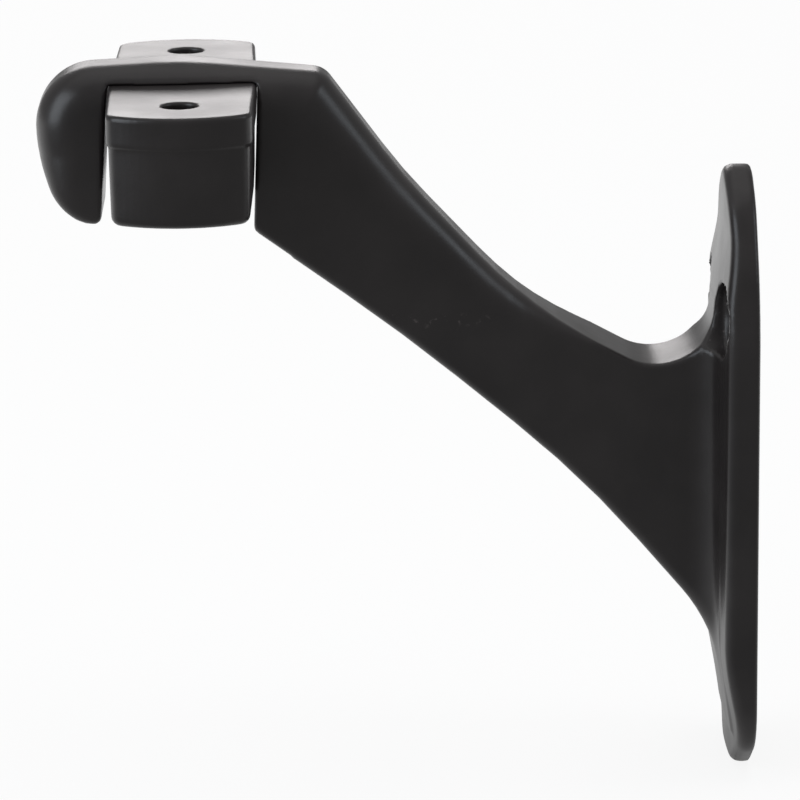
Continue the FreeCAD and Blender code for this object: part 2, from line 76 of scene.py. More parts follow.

# Detail of the coat's noises, the part of each noise that shows, how much lighter a painted glint
# is than a patch, and the spread of roughness to either side of the coat's own.
PLAIN_DETAIL = 2.0
PATCH_DETAIL = 4.0
PATCH_RANGE = (0.35, 0.70)
GLINT_DETAIL = 3.0
GLINT_RANGE = (0.62, 0.78)
GLINT_GAIN = 4
ROUGH_BELOW = 0.03
ROUGH_ABOVE = 0.04

# The floor starts just ahead of the part with a dim share of its light, which is full further
# back. Most of its brightness is its own light, and a matt rest takes the shadow.
WHITE = (1, 1, 1, 1)
FLOOR_FRONT = -0.045
FLOOR_LIT = 0.16
FLOOR_REACH = 3.0
FLOOR_DIM = 1 / 3
FLOOR_GLOW = 0.88
FLOOR_MATT = (0.9, 0.9, 0.9, 1)

# Soft panels: name of the power's property, place, width and height in metres, colour, and
# whether reflections show the panel.
PANELS = (
    ("rear", (-0.17, 1.3, 0.42), (0.50, 0.30), (1.0, 0.97, 0.97), True),
    ("top", (-0.2, 0.2, 1.3), (1.4, 1.0), (1.0, 1.0, 1.0), True),
    ("side", (-1.3, -0.55, 0.55), (0.9, 1.2), (0.86, 0.93, 1.0), True),
    ("back", (1.2, -0.2, 0.85), (0.5, 0.5), (0.84, 0.92, 1.0), True),
    ("over", (-0.05, 0.1, 1.3), (1.2, 1.2), (1.0, 1.0, 1.0), False),
)

FILM_WIDTH = 36.0
CLIP_NEAR = 0.01
CLIP_FAR = 20.0


class CastingSizes(bpy.types.PropertyGroup):
    """Sizes of the casting that the frame's box doesn't give."""

    # The wall plate
    arch_rise: FloatProperty(
        name="Arch rise", description="Height of the plate's arch", default=0.0182, unit="LENGTH"
    )
    waist_width: FloatProperty(
        name="Arch waist", description="Between the two bends of the arch", default=0.018, unit="LENGTH"
    )
    waist_drop: FloatProperty(
        name="Waist drop",
        description="Top of the arch down to its bends",
        default=0.0042,
        unit="LENGTH",
    )
    arch_top: FloatProperty(
        name="Arch top",
        description="Flat of the arch before it is rounded",
        default=0.004,
        unit="LENGTH",
    )
    arch_round: FloatProperty(
        name="Arch round",
        description="Rounding of the arch's upper bends",
        default=0.014,
        unit="LENGTH",
    )
    side_round: FloatProperty(
        name="Side round",
        description="Bend from the plate's sides to its arch",
        default=0.028,
        unit="LENGTH",
    )
    foot_rise: FloatProperty(
        name="Foot rise",
        description="Height of the flat arch at the foot",
        default=0.0068,
        unit="LENGTH",
    )
    foot_width: FloatProperty(
        name="Foot width",
        description="Flat of the foot before it is rounded",
        default=0.012,
        unit="LENGTH",
    )
    foot_round: FloatProperty(
        name="Foot round", description="Rounding of the foot's bends", default=0.009, unit="LENGTH"
    )
    plate_thick: FloatProperty(
        name="Plate", description="Plate on its centre line", default=0.0058, unit="LENGTH"
    )
    top_thick: FloatProperty(
        name="Plate top", description="Plate at the top of the arch", default=0.0044, unit="LENGTH"
    )
    foot_thick: FloatProperty(
        name="Plate foot", description="Plate at its foot", default=0.0033, unit="LENGTH"
    )
    thin_start: FloatProperty(
        name="Thinning start",
        description="Wall screws up to where the plate thins",
        default=0.001867,
        unit="LENGTH",
    )
    thin_end: FloatProperty(
        name="Thinning end",
        description="Top of the arch down to where it is thin",
        default=0.0087,
        unit="LENGTH",
    )
    crown: FloatProperty(
        name="Crown", description="Fall of the plate's front to its rim", default=0.0010, unit="LENGTH"
    )
    rim_round: FloatProperty(
        name="Rim round", description="Rounding of the plate's front rim", default=0.0015, unit="LENGTH"
    )
    # The wall screws
    screw_height: FloatProperty(
        name="Screw height", description="Wall screws above the middle", default=0.0249, unit="LENGTH"
    )
    screw_pitch: FloatProperty(
        name="Screw pitch", description="Between the wall screws", default=0.0206, unit="LENGTH"
    )
    screw_bore: FloatProperty(
        name="Screw bore", description="Clearance hole of a wall screw", default=0.0052, unit="LENGTH"
    )
    screw_head: FloatProperty(
        name="Countersink", description="Mouth of a countersink", default=0.0112, unit="LENGTH"
    )
    screw_sink: FloatProperty(
        name="Recess", description="Straight recess over the cone", default=0.0012, unit="LENGTH"
    )
    # The slot and the head
    slot_gap: FloatProperty(
        name="Slot gap", description="Saddle to each wall of the slot", default=0.0002, unit="LENGTH"
    )
    slot_depth: FloatProperty(
        name="Slot depth", description="Slot from the bridge to its mouth", default=0.021, unit="LENGTH"
    )
    slot_draft: FloatProperty(
        name="Slot draft",
        description="Lean of the nose's wall at the mouth",
        default=0.0013,
        unit="LENGTH",
    )
    slot_lean: FloatProperty(
        name="Slot lean",
        description="Lean of the arm's wall under the saddle",
        default=0.0009,
        unit="LENGTH",
    )
    throat_drop: FloatProperty(
        name="Throat drop",
        description="Arm's corner below the nose's tip",
        default=0.0015,
        unit="LENGTH",
    )
    slot_round: FloatProperty(
        name="Slot round",
        description="Corner between slot wall and bridge",
        default=0.0007,
        unit="LENGTH",
    )
    nose_round: FloatProperty(
        name="Nose round", description="Corner between crest and nose", default=0.010, unit="LENGTH"
    )
    crest_bow: FloatProperty(
        name="Crest bow", description="Bow of the head's crest", default=0.060, unit="LENGTH"
    )
    nose_bow: FloatProperty(
        name="Nose bow", description="Bow of the front of the nose", default=0.026, unit="LENGTH"
    )
    nose_fall: FloatProperty(
        name="Nose fall", description="Fall of the crest to the nose", default=0.0010, unit="LENGTH"
    )
    head_fall: FloatProperty(
        name="Head fall", description="Fall of the crest to the shoulder", default=0.0020, unit="LENGTH"
    )
    tip_set: FloatProperty(
        name="Tip set", description="Nose front to the corner of its tip", default=0.0036, unit="LENGTH"
    )
    tip_round: FloatProperty(
        name="Tip round", description="Outer corner of the tip", default=0.0086, unit="LENGTH"
    )
    tip_lip: FloatProperty(
        name="Tip lip", description="Corners of the slot's mouth", default=0.0014, unit="LENGTH"
    )
    head_thick: FloatProperty(
        name="Head", description="Arm along the rail at the nose", default=0.0164, unit="LENGTH"
    )
    neck_thick: FloatProperty(
        name="Neck", description="Arm along the rail at the plate", default=0.0138, unit="LENGTH"
    )
    # The arm's back
    shoulder_set: FloatProperty(
        name="Shoulder set", description="Slot wall to the shoulder", default=0.010, unit="LENGTH"
    )
    shoulder_round: FloatProperty(
        name="Shoulder round", description="Rounding of the shoulder", default=0.0036, unit="LENGTH"
    )
    upper_x: FloatProperty(
        name="Upper run X",
        description="Shoulder to the back's first bend, along X",
        default=0.0118,
        unit="LENGTH",
    )
    upper_z: FloatProperty(
        name="Upper run Z",
        description="Shoulder to the back's first bend, along Z",
        default=0.01615,
        unit="LENGTH",
    )
    upper_bow: FloatProperty(
        name="Upper bow", description="First bend of the arm's back", default=0.090, unit="LENGTH"
    )
    middle_x: FloatProperty(
        name="Middle run X",
        description="First to second bend of the back, along X",
        default=0.0179,
        unit="LENGTH",
    )
    middle_z: FloatProperty(
        name="Middle run Z",
        description="First to second bend of the back, along Z",
        default=0.0193,
        unit="LENGTH",
    )
    middle_bow: FloatProperty(
        name="Middle bow", description="Second bend of the arm's back", default=0.058, unit="LENGTH"
    )
    valley_height: FloatProperty(
        name="Valley height",
        description="Arm's back produced to the plate",
        default=0.0116,
        unit="LENGTH",
    )
    valley_round: FloatProperty(
        name="Valley round", description="Hollow between back and plate", default=0.0092, unit="LENGTH"
    )
    # The arm's belly and root
    belly_x: FloatProperty(
        name="Belly run X",
        description="Slot mouth to the belly's first bend, along X",
        default=0.0222,
        unit="LENGTH",
    )
    belly_z: FloatProperty(
        name="Belly run Z",
        description="Slot mouth to the belly's first bend, along Z",
        default=0.0162,
        unit="LENGTH",
    )
    belly_bow: FloatProperty(
        name="Belly bow", description="First bend of the belly", default=0.300, unit="LENGTH"
    )
    lower_x: FloatProperty(
        name="Lower run X",
        description="First to second bend of the belly, along X",
        default=0.027,
        unit="LENGTH",
    )
    lower_z: FloatProperty(
        name="Lower run Z",
        description="First to second bend of the belly, along Z",
        default=0.0228,
        unit="LENGTH",
    )
    lower_bow: FloatProperty(
        name="Lower bow", description="Second bend of the belly", default=0.160, unit="LENGTH"
    )
    root_height: FloatProperty(
        name="Root height", description="Belly's meeting with the plate", default=0.0245, unit="LENGTH"
    )
    root_round: FloatProperty(
        name="Root round", description="Bend of the belly into the plate", default=0.028, unit="LENGTH"
    )
    flare: FloatProperty(
        name="Flare",
        description="Concave flare from the arm's sides to the plate",
        default=0.0048,
        unit="LENGTH",
    )
    # The edges
    head_edge: FloatProperty(
        name="Head edge", description="Rounding of the crest's edges", default=0.006, unit="LENGTH"
    )
    arm_edge: FloatProperty(
        name="Arm edge",
        description="Rounding of the back's edges, half way down",
        default=0.0042,
        unit="LENGTH",
    )
    valley_edge: FloatProperty(
        name="Valley edge",
        description="Rounding of the back's edges at the plate",
        default=0.0007,
        unit="LENGTH",
    )
    belly_edge: FloatProperty(
        name="Belly edge",
        description="Rounding of the arm's lower edges",
        default=0.0018,
        unit="LENGTH",
    )
    cut_edge: FloatProperty(
        name="Cut edge",
        description="Paint-filled rounding of a slot's edge",
        default=0.0005,
        unit="LENGTH",
    )
    back_edge: FloatProperty(
        name="Back edge", description="Rounding of the plate's back edge", default=0.0008, unit="LENGTH"
    )
    bore_edge: FloatProperty(
        name="Bore edge",
        description="Paint-filled rounding of a hole's edge",
        default=0.0003,
        unit="LENGTH",
    )
    weld: FloatProperty(
        name="Weld", description="Softness of the seam of arm and plate", default=0.0008, unit="LENGTH"
    )
    cell: FloatProperty(
        name="Cell", description="Grid step of the casting's surface", default=0.0005, unit="LENGTH"
    )


class SaddleSizes(bpy.types.PropertyGroup):
    """Sizes of the saddle that the frame's box doesn't give."""

    ear_flat: FloatProperty(
        name="Ear flat",
        description="Between the corners of the two ears",
        default=0.0604,
        unit="LENGTH",
    )
    ear_taper: FloatProperty(
        name="Ear taper",
        description="Narrowing of an ear's side at its corner",
        default=0.0004,
        unit="LENGTH",
    )
    ear_round: FloatProperty(
        name="Ear round",
        description="Rounding of an ear's upright corners",
        default=0.0032,
        unit="LENGTH",
    )
    middle: FloatProperty(
        name="Middle", description="Parallel middle in the slot", default=0.0164, unit="LENGTH"
    )
    rim_thick: FloatProperty(
        name="Rim", description="Rim round the top", default=0.0044, unit="LENGTH"
    )
    rim_step: FloatProperty(
        name="Rim step", description="How far the rim stands proud", default=0.00035, unit="LENGTH"
    )
    rim_fall: FloatProperty(
        name="Rim fall",
        description="Height over which the rim's step runs out",
        default=0.00025,
        unit="LENGTH",
    )
    draft: FloatProperty(
        name="Draft", description="Draft of the body's sides", default=math.radians(1), unit="ROTATION"
    )
    screw_pitch: FloatProperty(
        name="Screw pitch", description="Between the rail screws", default=0.046, unit="LENGTH"
    )
    screw_bore: FloatProperty(
        name="Screw bore", description="Clearance hole of a rail screw", default=0.0052, unit="LENGTH"
    )
    well_wall: FloatProperty(
        name="Well wall", description="Wall round the hollow of an ear", default=0.0026, unit="LENGTH"
    )
    well_web: FloatProperty(
        name="Well web", description="Solid middle between the hollows", default=0.012, unit="LENGTH"
    )
    well_reach: FloatProperty(
        name="Well reach",
        description="Hollow past the line of its screw",
        default=0.0056,
        unit="LENGTH",
    )
    well_round: FloatProperty(
        name="Well round", description="Upright corners of a hollow", default=0.003, unit="LENGTH"
    )
    top_edge: FloatProperty(
        name="Top edge", description="Rounding of the top's edge", default=0.0006, unit="LENGTH"
    )
    foot_edge: FloatProperty(
        name="Foot edge", description="Rounding of the bottom's edge", default=0.0013, unit="LENGTH"
    )
    bore_edge: FloatProperty(
        name="Bore edge", description="Rounding of a hole's edge", default=0.0003, unit="LENGTH"
    )
    cell: FloatProperty(
        name="Cell", description="Grid step of the saddle's surface", default=0.00042, unit="LENGTH"
    )


class PaintLook(bpy.types.PropertyGroup):
    """Satin powder coat."""

    colour: FloatVectorProperty(
        name="Colour",
        description="Coat's own colour",
        default=(0.0165, 0.0142, 0.0144),
        subtype="COLOR",
        size=3,
    )
    thick: FloatVectorProperty(
        name="Thick coat",
        description="Colour where the coat lies thick",
        default=(0.0260, 0.0225, 0.0225),
        subtype="COLOR",
        size=3,
    )
    roughness: FloatProperty(
        name="Roughness", description="Roughness of the coat", default=0.33, subtype="FACTOR"
    )
    grain: FloatProperty(
        name="Grain", description="Width of the coat's orange peel", default=0.0006, unit="LENGTH"
    )
    grain_height: FloatProperty(
        name="Grain height", description="Height of the orange peel", default=0.000010, unit="LENGTH"
    )
    cast: FloatProperty(
        name="Cast", description="Width of the casting's unevenness", default=0.007, unit="LENGTH"
    )
    patch: FloatProperty(
        name="Patch", description="Width of the lighter patches", default=0.0119, unit="LENGTH"
    )
    # Width of the painted glints: lighter specks in the screw holes.
    glint_size: FloatProperty(
        name="Speck", description="Width of the specks in the recesses", default=0.00078, unit="LENGTH"
    )
    cast_height: FloatProperty(
        name="Cast height", description="Height of the unevenness", default=0.00009, unit="LENGTH"
    )


class StageLook(bpy.types.PropertyGroup):
    """Camera, floor and lamps."""

    focal: FloatProperty(
        name="Focal length", description="Lens on a 36 mm film", default=207.0, unit="CAMERA"
    )
    camera_x: FloatProperty(
        name="Camera X", description="Camera along X", default=-0.0678, unit="LENGTH"
    )
    camera_y: FloatProperty(
        name="Camera Y", description="Camera along Y", default=-0.68142, unit="LENGTH"
    )
    camera_z: FloatProperty(
        name="Camera Z", description="Camera along Z", default=0.18573, unit="LENGTH"
    )
    pitch: FloatProperty(
        name="Pitch",
        description="How far the camera looks down",
        default=math.radians(14.4),
        unit="ROTATION",
    )
    yaw: FloatProperty(
        name="Yaw",
        description="How far it turns towards +X",
        default=math.radians(1.2),
        unit="ROTATION",
    )
    roll: FloatProperty(
        name="Roll", description="How far it leans", default=math.radians(0.6), unit="ROTATION"
    )
    floor_drop: FloatProperty(
        name="Floor drop", description="Floor under the plate's foot", default=0.0, unit="LENGTH"
    )
    rear: FloatProperty(
        name="Rear panel", description="Power of the panel behind", default=1.9, unit="POWER"
    )
    top: FloatProperty(
        name="Top panel", description="Power of the panel above", default=1.2, unit="POWER"
    )
    side: FloatProperty(
        name="Side panel", description="Power of the panel at the nose", default=9.0, unit="POWER"
    )
    back: FloatProperty(
        name="Back panel", description="Power of the panel behind the wall", default=1.7, unit="POWER"
    )
    over: FloatProperty(
        name="Over panel",
        description="Power of the panel that lights the floor",
        default=9.0,
        unit="POWER",
    )
    floor_level: FloatProperty(
        name="Floor level",
        description="Level of the lit floor in reflections",
        default=1.25,
        subtype="FACTOR",
    )
    room_level: FloatProperty(
        name="Room level", description="Level of the room's own light", default=0.31, subtype="FACTOR"
    )


class Millimetres:
    """A property group's lengths, read in millimetres."""

    def __init__(self, group):
        self._group = group

    def __getattr__(self, name):
        return getattr(self._group, name) * MM


# ---------------------------------------------------------------- outlines and fields


def outline(corners):
    """Points of a closed outline of (u, v, radius) corners.

    A corner with a radius becomes its tangent arc, walked in equal turns. Where the arcs at a
    side's two ends need more than the side, both get smaller in the same share.
    """
    places = np.array([corner[:2] for corner in corners])
    radii = np.array([corner[2] for corner in corners])
    sides = np.roll(places, -1, axis=0) - places
    lengths = np.hypot(*sides.T)
    ahead = sides / lengths[:, None]
    back = -np.roll(ahead, 1, axis=0)
    half = np.arccos(np.clip((back * ahead).sum(axis=1), -1, 1)) / 2
    need = radii / np.tan(half)
    share = np.minimum(1, lengths / np.maximum(need + np.roll(need, -1), TINY))
    bows = radii * np.minimum(share, np.roll(share, 1))
    points = []
    for i, corner in enumerate(places):
        if bows[i] <= 0:
            points.append(corner)
            continue
        towards = back[i] + ahead[i]
        towards /= np.hypot(*towards)
        centre = corner + towards * bows[i] / math.sin(half[i])
        sweep = math.pi / 2 - half[i]
        steps = max(2, math.ceil(2 * sweep / ARC_STEP))
        across = np.array((-towards[1], towards[0]))
        side = math.copysign(1, back[i] @ across)
        for turn in np.linspace(sweep, -sweep, steps + 1) * side:
            points.append(centre + bows[i] * (math.sin(turn) * across - math.cos(turn) * towards))
    return np.array(points)


def outline_distance(corners, u, v):
    """Signed distance of the places (u, v) to a closed outline, negative inside.

    The distance is the least over the outline's runs, each to its nearest point. A place is
    inside if a ray from it towards +u crosses an odd number of runs.
    """
    points = outline(corners)
    least = np.full(np.broadcast(u, v).shape, np.inf)
    inside = np.zeros(least.shape, bool)
    for start, end in zip(points, np.roll(points, -1, axis=0)):
        du, dv = end - start
        square = du * du + dv * dv
        if square == 0:
            continue
        share = np.clip(((u - start[0]) * du + (v - start[1]) * dv) / square, 0, 1)
        least = np.minimum(least, (u - start[0] - share * du) ** 2 + (v - start[1] - share * dv) ** 2)
        if dv != 0:
            spans = (start[1] > v) != (end[1] > v)
            inside ^= spans & (u < start[0] + (v - start[1]) * du / dv)
    return np.where(inside, -1.0, 1.0) * np.sqrt(least)


def common(first, second, radius):
    """Common part of two fields, with its edge rounded.

    Both fields are pushed in by the radius; outside both, the distance is that to their corner,
    and the radius is then taken off again.
    """
    a = first + radius
    b = second + radius
    return np.minimum(np.maximum(a, b), 0) + np.hypot(np.maximum(a, 0), np.maximum(b, 0)) - radius


def joined(first, second, width):
    """Both fields together; within width of the seam the lesser is lowered by a parabola."""
    near = np.maximum(width - np.abs(first - second), 0) / width
    return np.minimum(first, second) - near * near * width / 4


def smooth(low, high, value):
    """0 below low, 1 above high, and a smooth step between."""
    share = np.clip((value - low) / (high - low), 0, 1)
    return share * share * (3 - 2 * share)


class Grid:
    """Even steps along X, Y and Z over a box in millimetres, as broadcast arrays."""

    def __init__(self, low, high, cell):
        self.cell = cell
        self.low = np.array(low) - CELLS_BEFORE * cell
        counts = np.ceil((np.array(high) - self.low) / cell).astype(int) + CELLS_PAST
        self.axes = [self.low[i] + cell * np.arange(counts[i]) for i in range(3)]
        self.x = self.axes[0][:, None, None]
        self.y = self.axes[1][None, :, None]
        self.z = self.axes[2][None, None, :]


def sample(field, grid, points):
    """The field at any points, by linear shares of the eight grid values around each."""
    place = (points - grid.low) / grid.cell
    base = np.clip(np.floor(place).astype(int), 0, np.array(field.shape) - 2)
    share = place - base
    value = np.zeros(len(points))
    for step in np.ndindex(2, 2, 2):
        weight = np.prod(np.where(step, share, 1 - share), axis=1)
        index = base + step
        value += weight * field[index[:, 0], index[:, 1], index[:, 2]]
    return value


def slope(field, grid, points):
    """Unit direction in which the field grows fastest, from differences over about one cell."""
    rise = np.empty((len(points), 3))
    for axis in range(3):
        step = np.zeros(3)
        step[axis] = grid.cell * SLOPE_REACH
        rise[:, axis] = sample(field, grid, points + step) - sample(field, grid, points - step)
    return rise / np.linalg.norm(rise, axis=1, keepdims=True)


def surface_net(field, grid):
    """Vertices and quads of the surface where the field is zero.

    Each grid cell that the surface passes through has one vertex, at the mean of the places
    where the surface crosses its edges. Each grid edge that it crosses has one quad, through
    the four cells round that edge, turned so that it faces out.
    """
    shape = np.array(field.shape)
    total = np.zeros((*(shape - 1), 3))
    count = np.zeros(shape - 1)
    crossings = []
    for axis in range(3):
        lower = np.take(field, range(shape[axis] - 1), axis)
        upper = np.take(field, range(1, shape[axis]), axis)
        edges = np.argwhere((lower < 0) != (upper < 0))
        at = tuple(edges.T)
        place = edges.astype(float)
        place[:, axis] += lower[at] / (lower[at] - upper[at])
        crossings.append((edges, lower[at] < 0))
        others = [(axis + 1) % 3, (axis + 2) % 3]
        for first in (0, 1):
            for second in (0, 1):
                cell = edges.copy()
                cell[:, others[0]] -= first
                cell[:, others[1]] -= second
                index = tuple(cell.T)
                np.add.at(count, index, 1)
                for i in range(3):
                    np.add.at(total[..., i], index, place[:, i])
    used = count > 0
    number = np.full(count.shape, -1)
    number[used] = np.arange(used.sum())
    vertices = grid.low + grid.cell * total[used] / count[used][:, None]
    quads = []
    for axis, (edges, outward) in enumerate(crossings):
        first = np.eye(3, dtype=int)[(axis + 1) % 3]
        second = np.eye(3, dtype=int)[(axis + 2) % 3]
        ring = [edges - first - second, edges - second, edges, edges - first]
        quad = np.stack([number[tuple(cell.T)] for cell in ring], axis=1)
        quads.append(np.where(outward[:, None], quad, quad[:, ::-1]))
    return vertices, np.concatenate(quads)


def add_piece(name, node, field, grid, recess):
    """A mesh of the field's surface in place of a CAD node, with a recess attribute.

    The vertices are moved on to the surface along the field's slope, and the normals are that
    slope, so that shading doesn't depend on the grid.
    """
    points, quads = surface_net(field, grid)
    points -= slope(field, grid, points) * sample(field, grid, points)[:, None]
    normals = slope(field, grid, points)
    mesh = bpy.data.meshes.new(name)
    mesh.from_pydata((points / MM).tolist(), [], quads.tolist())
    mesh.shade_smooth()
    mesh.normals_split_custom_set_from_vertices(normals.tolist())
    layer = mesh.attributes.new("recess", "FLOAT", "POINT")
    layer.data.foreach_set("value", recess(points).astype(np.float32))
    piece = bpy.data.objects.new(name, mesh)
    bpy.context.scene.collection.objects.link(piece)
    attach(piece, BODY)
    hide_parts(node)
    return piece


def grid_cell(group):
    return group.cell * MM * 1


# ---------------------------------------------------------------- the casting


class CastingPlan:
    """Corners of the casting in millimetres, from the frame's boxes and the casting's sizes."""

    def __init__(self, sizes):
        s = Millimetres(sizes)
        self.s = s
        low, high = (np.array(corner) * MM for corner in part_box(CASTING_NODE))
        saddle_low, saddle_high = (np.array(corner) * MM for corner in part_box(SADDLE_NODE))
        self.low = low
        self.high = high
        self.front = low[0]
        self.crest = high[2]
        self.foot = low[2]
        self.top = -low[2]
        self.half_width = high[1]
        self.rail = (saddle_low[0] + saddle_high[0]) / 2
        self.seat = saddle_high[2]
        self.slot_half = (saddle_high[0] - saddle_low[0]) / 2 + s.slot_gap
        self.wall = self.rail + self.slot_half
        self.mouth = self.seat - s.slot_depth
        self.throat = self.wall - s.slot_lean
        self.corner = self.mouth - s.throat_drop
        self.lip = self.rail - self.slot_half - s.slot_draft
        self.shoulder = (self.wall + s.shoulder_set, self.crest - s.head_fall)
        self.upper = (self.shoulder[0] + s.upper_x, self.shoulder[1] - s.upper_z)
        self.middle = (self.upper[0] + s.middle_x, self.upper[1] - s.middle_z)
        self.belly = (self.throat + s.belly_x, self.corner - s.belly_z)
        self.lower = (self.belly[0] + s.lower_x, self.belly[1] - s.lower_z)
        # The weld lifts the seam by a quarter of its width.
        self.root = s.weld / 4 - s.plate_thick
        self.inside = -s.foot_thick / 2

    def side(self):
        """Side view of the arm, whose root runs on inside the plate."""
        s = self.s
        root_top = s.valley_height + ROOT_RISE * s.valley_round
        root_foot = self.foot + 2 * s.foot_thick
        return [
            (self.front, self.crest - s.nose_fall, s.nose_round),
            (self.rail, self.crest, s.crest_bow),
            (*self.shoulder, s.shoulder_round),
            (*self.upper, s.upper_bow),
            (*self.middle, s.middle_bow),
            (self.root - s.valley_edge, s.valley_height, s.valley_round),
            (self.root, root_top, 0),
            (self.inside, root_top, 0),
            (self.inside, root_foot, 0),
            (-s.foot_thick, root_foot, 0),
            (self.root, -s.root_height, s.root_round),
            (*self.lower, s.lower_bow),
            (*self.belly, s.belly_bow),
            (self.throat, self.corner, 0),
            (self.front + s.tip_set, self.mouth, s.tip_round),
            (self.front, self.seat - s.slot_depth / 2, s.nose_bow),
        ]

    def plan(self):
        """Top view of the arm: an even taper, then the concave flare on to the plate.

        It starts ahead of the nose, whose front is the side view's alone.
        """
        s = self.s
        taper = (s.head_thick - s.neck_thick) / 2 / -self.front
        face = s.crown / 2 - s.plate_thick
        side = s.neck_thick / 2 - taper * face
        ahead = self.front - s.head_thick
        right = [
            (ahead, s.neck_thick / 2 - taper * ahead, 0),
            (face, side, s.flare),
            (face, side + s.flare, 0),
            (self.inside, side + s.flare, 0),
        ]
        return right + [(x, -y, radius) for x, y, radius in reversed(right)]

    def slot(self):
        """Side view of the slot, with the two rounded lips below its mouth."""
        s = self.s
        reach = s.slot_depth / 4
        drop = reach * s.belly_z / s.belly_x
        return [
            (self.rail - self.slot_half, self.seat, s.slot_round),
            (self.wall, self.seat, s.slot_round),
            (self.throat, self.corner, s.tip_lip),
            (self.throat + reach, self.corner - drop, 0),
            (self.throat + reach, self.mouth - 2 * reach, 0),
            (self.lip - reach, self.mouth - 2 * reach, 0),
            (self.lip - reach, self.mouth, 0),
            (self.lip, self.mouth, s.tip_lip),
        ]

    def plate(self):
        """Front view of the plate."""
        s = self.s
        right = [
            (s.foot_width / 2, self.foot, s.foot_round),
            (self.half_width, self.foot + s.foot_rise, s.foot_round),
            (self.half_width, self.top - s.arch_rise, s.side_round),
            (s.waist_width / 2, self.top - s.waist_drop, s.arch_round),
            (s.arch_top / 2, self.top, s.arch_round),
        ]
        return right + [(-y, z, radius) for y, z, radius in reversed(right)]

    def edge_radius(self, x, z):
        """Rounding of the arm's long edges.

        Along the back it falls from the head's to the valley's; the lower edges keep their
        own; the nose goes from one to the other up its height.
        """
        s = self.s
        valley = self.root - 2 * s.valley_round
        places = [self.shoulder[0], self.middle[0], valley]
        back = np.interp(x, places, [s.head_edge, s.arm_edge, s.valley_edge])
        middle_slot = self.seat - s.slot_depth / 2
        middle_root = (s.valley_height - s.root_height) / 2
        divide = np.interp(x, [self.wall, self.root], [middle_slot, middle_root])
        upper = smooth(-s.belly_edge, s.belly_edge, z - divide)
        arm = s.belly_edge + upper * (back - s.belly_edge)
        rise = np.clip((z - self.mouth) / (s.slot_depth / 2), 0, 1)
        nose = s.belly_edge + rise * (s.head_edge - s.belly_edge)
        return np.where(x < self.wall, nose, arm)

    def plate_depth(self, y, z):
        """Thickness of the plate: crowned across, and stepped down softly to top and foot."""
        s = self.s
        above = smooth(s.screw_height + s.thin_start, self.top - s.thin_end, z)
        below = smooth(s.root_height, -self.foot - s.foot_thick, -z)
        thick = s.plate_thick - above * (s.plate_thick - s.top_thick)
        thick = thick - below * (s.plate_thick - s.foot_thick)
        return thick - s.crown * (y / self.half_width) ** 2

    def screw_hole(self, x, y, z):
        """Field of the two countersunk holes: bore, cone at 45 degrees, straight recess.

        The recess ends where the flare and the valley do, and the bore runs on.
        """
        s = self.s
        bore = s.screw_bore / 2
        head = s.screw_head / 2
        face = -self.plate_depth(s.screw_pitch / 2, s.screw_height)
        cone_end = face + s.screw_sink + head - bore
        radius = np.hypot(np.abs(y) - s.screw_pitch / 2, z - s.screw_height)
        cone = (radius - bore - cone_end + x) * math.sqrt(0.5)
        end = face - s.flare - s.valley_round
        return np.minimum(radius - bore, np.maximum(np.maximum(cone, radius - head), end - x))

    def field(self, grid):
        """The casting: arm and plate joined, then cut by the slot and the screw holes.

        The arm is the common part of its side and top outlines, and the plate that of its
        front outline and its depth.
        """
        s = self.s
        x2 = grid.axes[0][:, None]
        y2 = grid.axes[1]
        z2 = grid.axes[2]
        side = outline_distance(self.side(), x2, z2[None, :])[:, None, :]
        plan = outline_distance(self.plan(), x2, y2[None, :])[:, :, None]
        edge = self.edge_radius(x2, z2[None, :])[:, None, :]
        arm = common(side, plan, edge)
        face = outline_distance(self.plate(), y2[:, None], z2[None, :])[None]
        plate = common(face, -grid.x - self.plate_depth(grid.y, grid.z), s.rim_round)
        solid = common(joined(arm, plate, s.weld), grid.x, s.back_edge)
        slot = outline_distance(self.slot(), x2, z2[None, :])[:, None, :]
        solid = common(solid, -slot, s.cut_edge)
        return common(solid, -self.screw_hole(grid.x, grid.y, grid.z), s.bore_edge)

    def recess(self, points):
        """1 in the screw holes, and 0 a little way outside them."""
        # This mask places the painted glints in the holes.
        return 1 - smooth(GLINT_NEAR, GLINT_FAR, self.screw_hole(*points.T))


class BRACKET_OT_casting(bpy.types.Operator):
    """Build the cast arm and wall plate"""

    bl_idname = "bracket.casting"
    bl_label = "Casting"

    def execute(self, context):
        sizes = context.scene.bracket_casting
        plan = CastingPlan(sizes)
        grid = Grid(plan.low, plan.high, grid_cell(sizes))
        field = plan.field(grid)
        piece = add_piece("cast_bracket", CASTING_NODE, field, grid, plan.recess)
        piece.data.materials.append(powder_coat(context.scene.bracket_paint, "bracket_coat"))
        return {"FINISHED"}


# ---------------------------------------------------------------- the saddle


